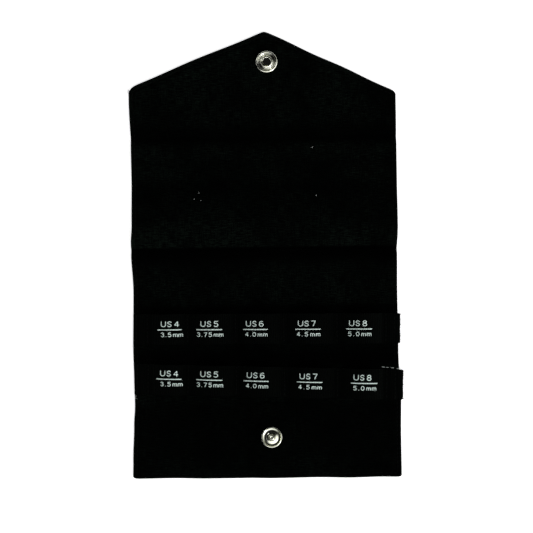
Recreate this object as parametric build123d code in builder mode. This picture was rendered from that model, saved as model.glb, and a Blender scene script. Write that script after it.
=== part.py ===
"""Fold-over case of an interchangeable needle set, lying open on a table.

Two loop tapes on the back panel hold the needle tips. The flap folds over them on a narrow spine
and its pointed tip snaps to a stud near the case's front edge.

Frame, in millimetres: +X across the case, +Y from the stud towards the flap's point, +Z out of the
inner face. The origin is on the table, on the spine's centre line, in line with the two snaps.
"""
from build123d import *
from math import asin, atan, cos, degrees, radians, sin
import os

# ---- Case outline -------------------------------------------------------------------------------
CASE_LEFT = -83.0
CASE_RIGHT = 77.0
FRONT_LEFT_Y = -135.8
FRONT_RIGHT_Y = -137.1
LEFT_SHOULDER_Y = 98.3
RIGHT_SHOULDER_Y = 93.9
POINT_X = -1.3
POINT_Y = 131.1
CORNER_RADIUS = 2.5

# ---- Cloth layers -------------------------------------------------------------------------------
COVER_THICKNESS = 0.6
LINING_THICKNESS = 0.5
LINING_INSET = 0.4
INNER_FACE = COVER_THICKNESS + LINING_THICKNESS

# ---- Folds --------------------------------------------------------------------------------------
SPINE_WIDTH = 9.5
TIP_FOLD_Y = 68.1
FOLD_GAP = 0.12
REACH = 200.0

# ---- Loop tapes ---------------------------------------------------------------------------------
TAPE_WIDTH = 18.0
TAPE_THICKNESS = 0.5
TACK_X = (-73.6, -49.6, -20.8, 8.0, 39.8, 69.2)
LOOP_CLEARANCE = (4.6, 4.7, 4.9, 5.1, 5.4)
TACK_LAND = 1.0
LOOP_FOOT_RADIUS = 3.0
UPPER_TAPE_Y = -47.2
UPPER_TAPE_TILT = -0.5
UPPER_TAPE_RIGHT = 77.8
LOWER_TAPE_Y = -79.0
LOWER_TAPE_TILT = -2.0
LOWER_TAPE_RIGHT = 79.2

# ---- Threads ------------------------------------------------------------------------------------
THREAD_WIDTH = 0.5
THREAD_HEIGHT = 0.15
EDGE_STITCH_INSET = 2.3
TACK_LENGTH = 16.0
TAPE_END_INSET = 2.6
STITCH_CLEARANCE = 0.6

# ---- Snap fastener ------------------------------------------------------------------------------
STUD_Y = -112.1
DISH_RISE = 1.0
DISH_RADIUS = 12.4
SEAT_RADIUS = 6.9
CLOTH_HOLE_RADIUS = 1.9
POST_RADIUS = 1.55

# Points given as a pair are a radius and a height over the seat.
STUD_RADIUS = 6.2
STUD_RIM = 0.5
STUD_RIM_LIP = (5.35, 0.9)
STUD_RIM_FOOT = (5.25, 0.6)
STUD_HOLLOW = (4.4, 0.38)
STUD_HOLLOW_END = (3.3, 0.62)
STUD_SHOULDER = (2.9, 0.9)
STUD_NECK = (2.0, 1.15)
STUD_HEAD_HEIGHT = 2.85
STUD_HEAD_BULGE = (2.2, 2.0)
STUD_HEAD_TOP = (1.85, STUD_HEAD_HEIGHT)

EYELET_RADIUS = 5.2
EYELET_BORE_RADIUS = 0.55
EYELET_THROAT_RADIUS = 1.4
EYELET_FLANGE = 0.2
EYELET_HOLLOW = (3.0, 0.3)
EYELET_ROLL_DROP = 0.15
EYELET_ROLL_TOP_RADIUS = 1.05
EYELET_ROLL_RISE = 0.1

SOCKET_RADIUS = 6.5
SOCKET_RIM = 0.8
SOCKET_RIM_LIP = (5.25, 1.4)
SOCKET_RIM_FOOT = (5.1, 1.0)
SOCKET_RECESS = (4.5, 0.6)
SOCKET_RECESS_END = (3.8, 0.95)
SOCKET_COLLAR = (3.35, 1.7)
SOCKET_MOUTH_RADIUS = 2.45
SOCKET_HEIGHT = 1.9
LIP_ROUND = 0.15
LIP_DEPTH = 0.5
UNDERCUT_RADIUS = 2.9
FINGER_COUNT = 6
FINGER_SLIT = 0.55
FINGER_ROOT = 0.75
FINGER_REACH = 1.4
MOUTH_LIFT = 1.85

CAP_RADIUS = 6.3
CAP_EDGE = 0.4
CAP_SAG = 0.05
CLENCH_RADIUS = 2.0
CLENCH_LEVEL = 0.3
CLENCH_HEIGHT = 0.15

# ---- Stiffening patch round the stud ------------------------------------------------------------
PATCH_WIDTH = 27.0
PATCH_LENGTH = 38.0
PATCH_CENTRE = (-0.2, -111.0)
PATCH_THICKNESS = 0.3
PATCH_FIT = 0.15

# ---- Worked out from the dimensions above -------------------------------------------------------
SPINE_EDGE = SPINE_WIDTH / 2
BACK_SEAT = DISH_RISE + INNER_FACE + PATCH_THICKNESS
TIP_SEAT = DISH_RISE + INNER_FACE
EYELET_TOP = BACK_SEAT + STUD_HEAD_HEIGHT

# Snapped shut, the socket's mouth stands MOUTH_LIFT above the stud's seat. The tip turns through
# TIP_CLOSED_ANGLE from the flap to bring it there, and the socket sits so that its mouth is then
# square over the stud.
SNAP_ARM = -STUD_Y - TIP_FOLD_Y
MOUTH_STAND = TIP_SEAT + SOCKET_HEIGHT - INNER_FACE
TIP_DROP = INNER_FACE + SPINE_WIDTH - MOUTH_STAND - BACK_SEAT - MOUTH_LIFT
TIP_CLOSED_ANGLE = asin(TIP_DROP / SNAP_ARM)
SOCKET_ARM = (SNAP_ARM + MOUTH_STAND * sin(TIP_CLOSED_ANGLE)) / cos(TIP_CLOSED_ANGLE)
SOCKET_Y = TIP_FOLD_Y + SOCKET_ARM

BACK_BAND = (-REACH, -SPINE_EDGE - FOLD_GAP)
SPINE_BAND = (-SPINE_EDGE + FOLD_GAP, SPINE_EDGE - FOLD_GAP)
FLAP_BAND = (SPINE_EDGE + FOLD_GAP, TIP_FOLD_Y - FOLD_GAP)
TIP_BAND = (TIP_FOLD_Y + FOLD_GAP, REACH)


def case_outline(inset):
    """Outline of the whole open case, moved inwards by inset."""
    with BuildSketch() as outline:
        with BuildLine():
            Polyline(
                (CASE_LEFT, FRONT_LEFT_Y),
                (CASE_RIGHT, FRONT_RIGHT_Y),
                (CASE_RIGHT, RIGHT_SHOULDER_Y),
                (POINT_X, POINT_Y),
                (CASE_LEFT, LEFT_SHOULDER_Y),
                close=True,
            )
        make_face()
        fillet(outline.vertices(), CORNER_RADIUS)
        if inset:
            offset(amount=-inset, mode=Mode.REPLACE)
    return outline.sketch


def panel_outline(band, inset=0.0):
    """The stretch of the case outline between two folds."""
    low, high = band
    with BuildSketch() as panel:
        add(case_outline(inset))
        with Locations((0, (low + high) / 2)):
            Rectangle(2 * REACH, high - low, mode=Mode.INTERSECT)
    return panel.sketch


def stitch_outline(band):
    """Line of top stitching just inside the case's edge, stopping short of the folds."""
    low, high = band
    clear_band = (low + STITCH_CLEARANCE, high - STITCH_CLEARANCE)
    with BuildSketch() as stitches:
        add(panel_outline(clear_band, EDGE_STITCH_INSET))
        add(panel_outline(clear_band, EDGE_STITCH_INSET + THREAD_WIDTH), mode=Mode.SUBTRACT)
    return stitches.sketch


def dish_section(bottom, thickness):
    """Half section of the cloth raised round a snap, from its hole out to the flat."""
    with BuildSketch() as section:
        with BuildLine():
            Polyline(
                (CLOTH_HOLE_RADIUS, bottom + DISH_RISE),
                (SEAT_RADIUS, bottom + DISH_RISE),
                (DISH_RADIUS, bottom),
                (DISH_RADIUS, bottom + thickness),
                (SEAT_RADIUS, bottom + thickness + DISH_RISE),
                (CLOTH_HOLE_RADIUS, bottom + thickness + DISH_RISE),
                close=True,
            )
        make_face()
    return section.sketch


def snap_plane(snap_y, seat=0.0):
    """Upright plane through a snap's centre: its x is the radius, its y the height over seat."""
    return Plane(origin=(0, snap_y, seat), x_dir=(1, 0, 0), z_dir=(0, -1, 0))


def snap_axis(snap_y):
    """Upright axis through a snap's centre."""
    return Axis((0, snap_y, 0), (0, 0, 1))


def pierced_outline(band, snap_y, inset=0.0):
    """The stretch of the case outline between two folds, open where the cloth rises to a snap."""
    with BuildSketch() as panel:
        add(panel_outline(band, inset))
        with Locations((0, snap_y)):
            Circle(DISH_RADIUS, mode=Mode.SUBTRACT)
    return panel.sketch


os.makedirs("parts", exist_ok=True)

# ---- Outer cover, one solid on each panel -------------------------------------------------------
with BuildPart() as back_cover:
    with BuildSketch():
        add(pierced_outline(BACK_BAND, STUD_Y))
    extrude(amount=COVER_THICKNESS)
    with BuildSketch(snap_plane(STUD_Y)):
        add(dish_section(0, COVER_THICKNESS))
    revolve(axis=snap_axis(STUD_Y))
back_cover.part.label = "back_cover"
export_step(back_cover.part, "parts/back_cover.step")

with BuildPart() as spine_cover:
    with BuildSketch():
        add(panel_outline(SPINE_BAND))
    extrude(amount=COVER_THICKNESS)
spine_cover.part.label = "spine_cover"
export_step(spine_cover.part, "parts/spine_cover.step")

with BuildPart() as flap_cover:
    with BuildSketch():
        add(panel_outline(FLAP_BAND))
    extrude(amount=COVER_THICKNESS)
flap_cover.part.label = "flap_cover"
export_step(flap_cover.part, "parts/flap_cover.step")

with BuildPart() as tip_cover:
    with BuildSketch():
        add(pierced_outline(TIP_BAND, SOCKET_Y))
    extrude(amount=COVER_THICKNESS)
    with BuildSketch(snap_plane(SOCKET_Y)):
        add(dish_section(0, COVER_THICKNESS))
    revolve(axis=snap_axis(SOCKET_Y))
tip_cover.part.label = "tip_cover"
export_step(tip_cover.part, "parts/tip_cover.step")

# ---- Inner lining, one solid on each panel ------------------------------------------------------
with BuildPart() as back_lining:
    with BuildSketch(Plane.XY.offset(COVER_THICKNESS)):
        add(panel_outline(BACK_BAND, LINING_INSET))
    extrude(amount=LINING_THICKNESS)
    # The cloth steps up over the stiffening patch.
    with BuildSketch(Plane.XY.offset(COVER_THICKNESS)):
        with Locations(PATCH_CENTRE):
            Rectangle(PATCH_WIDTH + 2 * LINING_THICKNESS, PATCH_LENGTH + 2 * LINING_THICKNESS)
    extrude(amount=LINING_THICKNESS + PATCH_THICKNESS)
    with BuildSketch(Plane.XY.offset(COVER_THICKNESS)):
        with Locations(PATCH_CENTRE):
            Rectangle(PATCH_WIDTH + 2 * PATCH_FIT, PATCH_LENGTH + 2 * PATCH_FIT)
    extrude(amount=PATCH_THICKNESS, mode=Mode.SUBTRACT)
    with BuildSketch(Plane.XY.offset(COVER_THICKNESS)):
        with Locations((0, STUD_Y)):
            Circle(DISH_RADIUS)
    extrude(amount=2 * LINING_THICKNESS, mode=Mode.SUBTRACT)
    with BuildSketch(snap_plane(STUD_Y)):
        add(dish_section(COVER_THICKNESS + PATCH_THICKNESS, LINING_THICKNESS))
    revolve(axis=snap_axis(STUD_Y))
back_lining.part.label = "back_lining"
export_step(back_lining.part, "parts/back_lining.step")

with BuildPart() as spine_lining:
    with BuildSketch(Plane.XY.offset(COVER_THICKNESS)):
        add(panel_outline(SPINE_BAND, LINING_INSET))
    extrude(amount=LINING_THICKNESS)
spine_lining.part.label = "spine_lining"
export_step(spine_lining.part, "parts/spine_lining.step")

with BuildPart() as flap_lining:
    with BuildSketch(Plane.XY.offset(COVER_THICKNESS)):
        add(panel_outline(FLAP_BAND, LINING_INSET))
    extrude(amount=LINING_THICKNESS)
flap_lining.part.label = "flap_lining"
export_step(flap_lining.part, "parts/flap_lining.step")

with BuildPart() as tip_lining:
    with BuildSketch(Plane.XY.offset(COVER_THICKNESS)):
        add(pierced_outline(TIP_BAND, SOCKET_Y, LINING_INSET))
    extrude(amount=LINING_THICKNESS)
    with BuildSketch(snap_plane(SOCKET_Y)):
        add(dish_section(COVER_THICKNESS, LINING_THICKNESS))
    revolve(axis=snap_axis(SOCKET_Y))
tip_lining.part.label = "tip_lining"
export_step(tip_lining.part, "parts/tip_lining.step")

# ---- Stiffening patch between the cover and the lining ------------------------------------------
with BuildPart() as snap_patch:
    with BuildSketch(Plane.XY.offset(COVER_THICKNESS)):
        with Locations(PATCH_CENTRE):
            Rectangle(PATCH_WIDTH, PATCH_LENGTH)
        with Locations((0, STUD_Y)):
            Circle(DISH_RADIUS, mode=Mode.SUBTRACT)
    extrude(amount=PATCH_THICKNESS)
    with BuildSketch(snap_plane(STUD_Y)):
        add(dish_section(COVER_THICKNESS, PATCH_THICKNESS))
    revolve(axis=snap_axis(STUD_Y))
snap_patch.part.label = "snap_patch"
export_step(snap_patch.part, "parts/snap_patch.step")


# ---- Loop tapes ---------------------------------------------------------------------------------
def draw_tape_edge(tape_right, lift):
    """One long edge of a tape's section, left to right; lift is its height over mid-thickness."""
    level = INNER_FACE + TAPE_THICKNESS / 2 + lift
    pen = (CASE_LEFT, level)
    for left_tack, right_tack, clearance in zip(TACK_X, TACK_X[1:], LOOP_CLEARANCE):
        half_span = (right_tack - left_tack) / 2 - TACK_LAND
        turn = 2 * atan(clearance / half_span)
        crown_radius = half_span / sin(turn) - LOOP_FOOT_RADIUS
        land = Line(pen, (left_tack + TACK_LAND, level))
        rise = JernArc(land @ 1, (1, 0), LOOP_FOOT_RADIUS - lift, degrees(turn))
        crown = JernArc(rise @ 1, rise % 1, crown_radius + lift, -2 * degrees(turn))
        fall = JernArc(crown @ 1, crown % 1, LOOP_FOOT_RADIUS - lift, degrees(turn))
        pen = fall @ 1
    Line(pen, (tape_right, level))


def tape_section(tape_right):
    """Section of a loop tape: flat at each tack and arched between them."""
    bottom = INNER_FACE
    top = INNER_FACE + TAPE_THICKNESS
    with BuildSketch() as section:
        with BuildLine():
            draw_tape_edge(tape_right, -TAPE_THICKNESS / 2)
            Line((tape_right, bottom), (tape_right, top))
            draw_tape_edge(tape_right, TAPE_THICKNESS / 2)
            Line((CASE_LEFT, top), (CASE_LEFT, bottom))
        make_face()
    return section.sketch


def tape_plane(tape_y, tilt):
    """Upright plane along a tape's centre line."""
    turn = radians(tilt)
    along = (cos(turn), sin(turn), 0)
    across = (sin(turn), -cos(turn), 0)
    return Plane(origin=(0, tape_y, 0), x_dir=along, z_dir=across)


with BuildPart() as upper_loop_tape:
    with BuildSketch(tape_plane(UPPER_TAPE_Y, UPPER_TAPE_TILT)):
        add(tape_section(UPPER_TAPE_RIGHT))
    extrude(amount=TAPE_WIDTH / 2, both=True)
upper_loop_tape.part.label = "upper_loop_tape"
export_step(upper_loop_tape.part, "parts/upper_loop_tape.step")

with BuildPart() as lower_loop_tape:
    with BuildSketch(tape_plane(LOWER_TAPE_Y, LOWER_TAPE_TILT)):
        add(tape_section(LOWER_TAPE_RIGHT))
    extrude(amount=TAPE_WIDTH / 2, both=True)
lower_loop_tape.part.label = "lower_loop_tape"
export_step(lower_loop_tape.part, "parts/lower_loop_tape.step")


# ---- Threads ------------------------------------------------------------------------------------
def tape_stitches(tape_y, tilt):
    """Rows of stitches across a tape: one at each tack and one near each side of the case."""
    row_x = (CASE_LEFT + TAPE_END_INSET, *TACK_X, CASE_RIGHT - TAPE_END_INSET)
    tape_top = Plane((0, tape_y, INNER_FACE + TAPE_THICKNESS)).rotated((0, 0, tilt))
    with BuildPart() as stitches:
        with BuildSketch(tape_top):
            with Locations(*[(x, 0) for x in row_x]):
                Rectangle(THREAD_WIDTH, TACK_LENGTH)
        extrude(amount=THREAD_HEIGHT)
    return stitches.part


with BuildPart() as upper_tape_stitching:
    add(tape_stitches(UPPER_TAPE_Y, UPPER_TAPE_TILT))
upper_tape_stitching.part.label = "upper_tape_stitching"
export_step(upper_tape_stitching.part, "parts/upper_tape_stitching.step")

with BuildPart() as lower_tape_stitching:
    add(tape_stitches(LOWER_TAPE_Y, LOWER_TAPE_TILT))
lower_tape_stitching.part.label = "lower_tape_stitching"
export_step(lower_tape_stitching.part, "parts/lower_tape_stitching.step")

with BuildPart() as back_edge_stitching:
    with BuildSketch(Plane.XY.offset(INNER_FACE)):
        add(stitch_outline(BACK_BAND))
        # The tapes lie over the line here, and their own end rows carry it across them.
        for tape_y, tape_tilt in ((UPPER_TAPE_Y, UPPER_TAPE_TILT), (LOWER_TAPE_Y, LOWER_TAPE_TILT)):
            with Locations(Location((0, tape_y), tape_tilt)):
                Rectangle(2 * REACH, TAPE_WIDTH + STITCH_CLEARANCE, mode=Mode.SUBTRACT)
    extrude(amount=THREAD_HEIGHT)
back_edge_stitching.part.label = "back_edge_stitching"
export_step(back_edge_stitching.part, "parts/back_edge_stitching.step")

with BuildPart() as spine_edge_stitching:
    with BuildSketch(Plane.XY.offset(INNER_FACE)):
        add(stitch_outline(SPINE_BAND))
    extrude(amount=THREAD_HEIGHT)
spine_edge_stitching.part.label = "spine_edge_stitching"
export_step(spine_edge_stitching.part, "parts/spine_edge_stitching.step")

with BuildPart() as flap_edge_stitching:
    with BuildSketch(Plane.XY.offset(INNER_FACE)):
        add(stitch_outline(FLAP_BAND))
    extrude(amount=THREAD_HEIGHT)
flap_edge_stitching.part.label = "flap_edge_stitching"
export_step(flap_edge_stitching.part, "parts/flap_edge_stitching.step")

with BuildPart() as tip_edge_stitching:
    with BuildSketch(Plane.XY.offset(INNER_FACE)):
        add(stitch_outline(TIP_BAND))
    extrude(amount=THREAD_HEIGHT)
tip_edge_stitching.part.label = "tip_edge_stitching"
export_step(tip_edge_stitching.part, "parts/tip_edge_stitching.step")

# ---- Snap stud on the back panel ----------------------------------------------------------------
with BuildPart() as snap_stud:
    with BuildSketch(snap_plane(STUD_Y, BACK_SEAT)):
        with BuildLine():
            base = Polyline(
                (POST_RADIUS, STUD_HEAD_HEIGHT),
                (POST_RADIUS, 0),
                (STUD_RADIUS - STUD_RIM, 0),
            )
            rim = RadiusArc(base @ 1, (STUD_RADIUS - STUD_RIM, 2 * STUD_RIM), -STUD_RIM)
            rim_lip = ThreePointArc(rim @ 1, STUD_RIM_LIP, STUD_RIM_FOOT)
            hollow = ThreePointArc(rim_lip @ 1, STUD_HOLLOW, STUD_HOLLOW_END)
            shoulder = ThreePointArc(hollow @ 1, STUD_SHOULDER, STUD_NECK)
            head_side = ThreePointArc(shoulder @ 1, STUD_HEAD_BULGE, STUD_HEAD_TOP)
            Line(head_side @ 1, base @ 0)
        make_face()
    revolve(axis=snap_axis(STUD_Y))
snap_stud.part.label = "snap_stud"
export_step(snap_stud.part, "parts/snap_stud.step")

# ---- Eyelet clenched through the cloth into the stud --------------------------------------------
with BuildPart() as stud_eyelet:
    with BuildSketch(snap_plane(STUD_Y)):
        with BuildLine():
            tube = Polyline(
                (EYELET_BORE_RADIUS, DISH_RISE - EYELET_FLANGE),
                (EYELET_BORE_RADIUS, EYELET_TOP - EYELET_ROLL_DROP),
            )
            rolled_end = ThreePointArc(
                tube @ 1,
                (EYELET_ROLL_TOP_RADIUS, EYELET_TOP + EYELET_ROLL_RISE),
                (POST_RADIUS, EYELET_TOP - EYELET_ROLL_DROP),
            )
            foot = Polyline(
                rolled_end @ 1,
                (POST_RADIUS, DISH_RISE),
                (EYELET_RADIUS - DISH_RISE / 2, DISH_RISE),
            )
            edge = RadiusArc(foot @ 1, (EYELET_RADIUS - DISH_RISE / 2, 0), DISH_RISE / 2)
            underside = ThreePointArc(
                edge @ 1,
                EYELET_HOLLOW,
                (EYELET_THROAT_RADIUS, DISH_RISE - EYELET_FLANGE),
            )
            Line(underside @ 1, tube @ 0)
        make_face()
    revolve(axis=snap_axis(STUD_Y))
stud_eyelet.part.label = "stud_eyelet"
export_step(stud_eyelet.part, "parts/stud_eyelet.step")

# ---- Snap socket on the tip's inner face --------------------------------------------------------
# Its collar is slit into fingers, undercut behind a lip, that spring over the stud's head.
with BuildPart() as snap_socket:
    with BuildSketch(snap_plane(SOCKET_Y, TIP_SEAT)):
        with BuildLine():
            floor = Polyline(
                (POST_RADIUS, CLENCH_LEVEL),
                (POST_RADIUS, 0),
                (SOCKET_RADIUS - SOCKET_RIM, 0),
            )
            rim = RadiusArc(floor @ 1, (SOCKET_RADIUS - SOCKET_RIM, 2 * SOCKET_RIM), -SOCKET_RIM)
            rim_lip = ThreePointArc(rim @ 1, SOCKET_RIM_LIP, SOCKET_RIM_FOOT)
            recess = ThreePointArc(rim_lip @ 1, SOCKET_RECESS, SOCKET_RECESS_END)
            collar = ThreePointArc(
                recess @ 1,
                SOCKET_COLLAR,
                (SOCKET_MOUTH_RADIUS + LIP_ROUND, SOCKET_HEIGHT),
            )
            Polyline(
                collar @ 1,
                (SOCKET_MOUTH_RADIUS, SOCKET_HEIGHT - LIP_ROUND),
                (SOCKET_MOUTH_RADIUS, SOCKET_HEIGHT - LIP_DEPTH),
                (UNDERCUT_RADIUS, SOCKET_HEIGHT - LIP_DEPTH),
                (UNDERCUT_RADIUS, CLENCH_LEVEL),
                floor @ 0,
            )
        make_face()
    revolve(axis=snap_axis(SOCKET_Y))
    with BuildSketch(Plane.XY.offset(TIP_SEAT + FINGER_ROOT)):
        with Locations((0, SOCKET_Y)):
            with PolarLocations((UNDERCUT_RADIUS + SOCKET_MOUTH_RADIUS) / 2, FINGER_COUNT):
                Rectangle(FINGER_REACH, FINGER_SLIT)
    extrude(amount=SOCKET_HEIGHT, mode=Mode.SUBTRACT)
snap_socket.part.label = "snap_socket"
export_step(snap_socket.part, "parts/snap_socket.step")

# ---- Cap on the outside of the tip --------------------------------------------------------------
with BuildPart() as snap_cap:
    with BuildSketch(snap_plane(SOCKET_Y)):
        with BuildLine():
            dome = ThreePointArc(
                (0, 0),
                ((CAP_RADIUS - CAP_EDGE) / 2, CAP_SAG),
                (CAP_RADIUS - CAP_EDGE, DISH_RISE - 2 * CAP_EDGE),
            )
            edge = RadiusArc(dome @ 1, (CAP_RADIUS - CAP_EDGE, DISH_RISE), -CAP_EDGE)
            Polyline(
                edge @ 1,
                (POST_RADIUS, DISH_RISE),
                (POST_RADIUS, TIP_SEAT + CLENCH_LEVEL),
                (CLENCH_RADIUS, TIP_SEAT + CLENCH_LEVEL),
                (CLENCH_RADIUS, TIP_SEAT + CLENCH_LEVEL + CLENCH_HEIGHT),
                (0, TIP_SEAT + CLENCH_LEVEL + CLENCH_HEIGHT),
                (0, 0),
            )
        make_face()
    revolve(axis=snap_axis(SOCKET_Y))
snap_cap.part.label = "snap_cap"
export_step(snap_cap.part, "parts/snap_cap.step")

print(f"tip closes at {degrees(TIP_CLOSED_ANGLE):.3f} degrees, socket at y = {SOCKET_Y:.3f}")
print(f"spine folds at y = -{SPINE_EDGE} and {SPINE_EDGE}, z = {INNER_FACE}")
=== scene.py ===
"""Looks of the fold-over needle case: cloth, tapes, size marks, stitching, snaps, light, camera."""
import bpy
import numpy as np
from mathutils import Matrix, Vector


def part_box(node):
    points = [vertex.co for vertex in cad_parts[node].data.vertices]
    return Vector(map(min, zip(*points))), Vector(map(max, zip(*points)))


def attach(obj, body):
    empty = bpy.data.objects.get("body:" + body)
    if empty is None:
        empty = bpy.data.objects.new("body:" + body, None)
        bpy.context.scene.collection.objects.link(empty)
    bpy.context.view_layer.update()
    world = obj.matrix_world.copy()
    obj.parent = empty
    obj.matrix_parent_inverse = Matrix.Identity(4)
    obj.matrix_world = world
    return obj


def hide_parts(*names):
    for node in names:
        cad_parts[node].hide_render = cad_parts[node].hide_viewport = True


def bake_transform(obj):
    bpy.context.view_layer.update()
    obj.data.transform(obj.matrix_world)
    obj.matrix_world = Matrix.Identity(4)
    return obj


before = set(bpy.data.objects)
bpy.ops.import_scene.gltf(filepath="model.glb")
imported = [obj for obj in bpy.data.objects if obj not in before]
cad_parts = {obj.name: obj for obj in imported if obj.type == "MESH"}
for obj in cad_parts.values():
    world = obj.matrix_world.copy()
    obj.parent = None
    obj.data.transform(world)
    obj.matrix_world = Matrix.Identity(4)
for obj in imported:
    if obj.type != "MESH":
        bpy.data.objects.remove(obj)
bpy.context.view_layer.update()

MM = 0.001

# ---- Camera, in metres, straight above the case --------------
CENTRE_X = -0.00176
CENTRE_Y = -0.00994
CAMERA_HEIGHT = 0.888
CAMERA_ROLL = np.radians(-0.8)

camera_data = bpy.data.cameras.new("camera")
camera_data.lens = 100
camera_data.sensor_width = 36
camera = bpy.data.objects.new("camera", camera_data)
camera.location = (CENTRE_X, CENTRE_Y, CAMERA_HEIGHT)
camera.rotation_euler = (0, 0, CAMERA_ROLL)
bpy.context.scene.collection.objects.link(camera)
bpy.context.scene.camera = camera

# ---- Sizes, in millimetres -----------------------------------
COVER_THICKNESS = 0.55
LINING_THICKNESS = 0.45
LINING_INSET = 0.4
LAYER_GAP = 0.02
THINNEST_LINING = 0.12
THINNEST_COVER = 0.25
INNER_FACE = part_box("spine_lining")[1][2] / MM
SPINE_FOLD = 4.75
TIP_FOLD = 68.1
FLAP_SPLIT = 36.0
SHOULDER_SPLIT = 80.0
CLOTH_LEFT = -83.0
CLOTH_WIDTH = 160.0
CLOTH_RIGHT = CLOTH_LEFT + CLOTH_WIDTH
CLOTH_FRONT = -136.6
POINT = (-1.3, 131.1)
POINT_ROUNDING = 0.6
SLOPE_COSINE = 0.916  # of the point's two slopes, which lean about 24 degrees
LEFT_SHOULDER = 98.3
RIGHT_SHOULDER = 93.9
EDGE_CURL = 0.9
UV_PER_MM = 0.1  # flat coordinates are in centimetres

# The case's outline: (y, x) along each side, and (x, y) along the front.
LEFT_EDGE = (
    (-140, -83.5), (-125, -83.2), (-104, -82.4), (-92, -81.7), (-77, -82.0), (-59, -82.3),
    (-23, -81.7), (4, -82.7), (16, -82.0), (61, -81.9), (92, -83.0), (100, -83.1),
)
RIGHT_EDGE = (
    (-140, 77.6), (-109, 77.5), (-92, 77.8), (-64, 76.6), (-34, 76.4), (-4, 76.3),
    (14, 77.1), (41, 77.1), (59, 76.9), (90, 77.0), (100, 77.0),
)
FRONT_EDGE = (
    (-84, -136.1), (-60, -136.0), (-38, -136.5), (-12, -136.5), (0, -136.8), (25, -136.6),
    (48, -137.1), (64, -136.8), (78, -137.1),
)
# Rise of the inner face over the turned-in edge, by the distance in from it.
EDGE_PROFILE = (
    (0.0, -0.25), (0.4, 0.05), (1.2, 0.85), (1.8, 0.75), (2.5, 0.38), (3.1, 0.6),
    (4.3, 0.72), (8.5, 0.0),
)


def centre(node):
    """Middle of a node's box, in millimetres."""
    low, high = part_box(node)
    return (np.array(low) + np.array(high)) / 2 / MM


STUD = centre("snap_stud")
SOCKET = centre("snap_socket")
PATCH_LOW, PATCH_HIGH = (np.array(corner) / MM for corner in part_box("snap_patch"))
SEAT_RADIUS = 6.9
DISH_RADIUS = 12.4
DISH_RISE = 1.0
PATCH_THICKNESS = 0.3
HOLE_RADIUS = 1.9


def smooth(t):
    """Smooth step from 0 to 1."""
    t = np.clip(t, 0, 1)
    return t * t * (3 - 2 * t)


def through(knots, t):
    """Smooth curve through (t, value) knots."""
    places, values = np.array(knots, float).T
    t = np.clip(t, places[0], places[-1])
    k = np.clip(np.searchsorted(places, t, "right") - 1, 0, len(places) - 2)
    part = (t - places[k]) / (places[k + 1] - places[k])
    return values[k] + (values[k + 1] - values[k]) * smooth(part)


def left_edge(y):
    """x of the case's left edge."""
    return through(LEFT_EDGE, y)


def right_edge(y):
    """x of the case's right edge."""
    return through(RIGHT_EDGE, y)


def corner(distance, depth, reach):
    """How far a rounded corner draws the edge in, at a distance from the side."""
    return depth * np.exp(-distance / reach)


def front_edge(x):
    """Front edge with its two rounded corners."""
    left_corner = corner(x - left_edge(-136.0), 2.2, 0.9)
    right_corner = corner(right_edge(-136.0) - x, 2.0, 0.9)
    return through(FRONT_EDGE, x) + (left_corner + right_corner)


def slopes(x):
    """The two slopes of the flap's point, unrounded."""
    left_rise = (POINT[1] - LEFT_SHOULDER) / (POINT[0] - CLOTH_LEFT)
    right_rise = (POINT[1] - RIGHT_SHOULDER) / (CLOTH_RIGHT - POINT[0])
    left = POINT[1] + (x - POINT[0]) * left_rise + 0.3 * np.sin(x * 0.11) * (x < POINT[0])
    right = POINT[1] - (x - POINT[0]) * right_rise + 0.25 * np.sin(x * 0.17) * (x > POINT[0])
    return left, right


def top_edge(x):
    """Edge of the pointed flap, rounded at its point and shoulders."""
    base = 130
    left, right = (np.exp(-(slope - base) / POINT_ROUNDING) for slope in slopes(x))
    edge = -POINT_ROUNDING * np.log(left + right) + base
    left_shoulder = corner(x - left_edge(96.0), 3.2, 1.5)
    right_shoulder = corner(right_edge(92.0) - x, 1.6, 0.8)
    return edge - (left_shoulder + right_shoulder)


def edge_distance(x, y):
    """Distance in from the case's edge."""
    sides = np.minimum(x - left_edge(y), right_edge(y) - x)
    front = y - front_edge(x)
    top = (top_edge(x) - y) * SLOPE_COSINE
    return np.minimum(np.minimum(sides, front), top)


def snap_distance(x, y, snap):
    """Distance from a snap's centre."""
    return np.hypot(x - snap[0], y - snap[1])


def crease(t, height, turn, crown, fade, sharp=True):
    """Cloth rising away from a crease line, t from it, and settling again."""
    t = np.maximum(t, 0)
    rise = 1 - np.exp(-t / turn) if sharp else smooth(t / turn)
    return height * rise * (1 - smooth((t - crown) / fade))


TACK_X = (-73.6, -49.6, -20.8, 8.0, 39.8, 69.2)
TAPES_TOP = -38.0
TAPES_FOOT = -88.5


def billow(x):
    """0 at each tack of the tapes, 1 midway between two."""
    places = np.array((CLOTH_LEFT, *TACK_X, CLOTH_RIGHT))
    k = np.clip(np.searchsorted(places, x, "right") - 1, 0, len(places) - 2)
    part = np.clip((x - places[k]) / (places[k + 1] - places[k]), 0, 1)
    return np.sin(np.pi * part) ** 2


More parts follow.
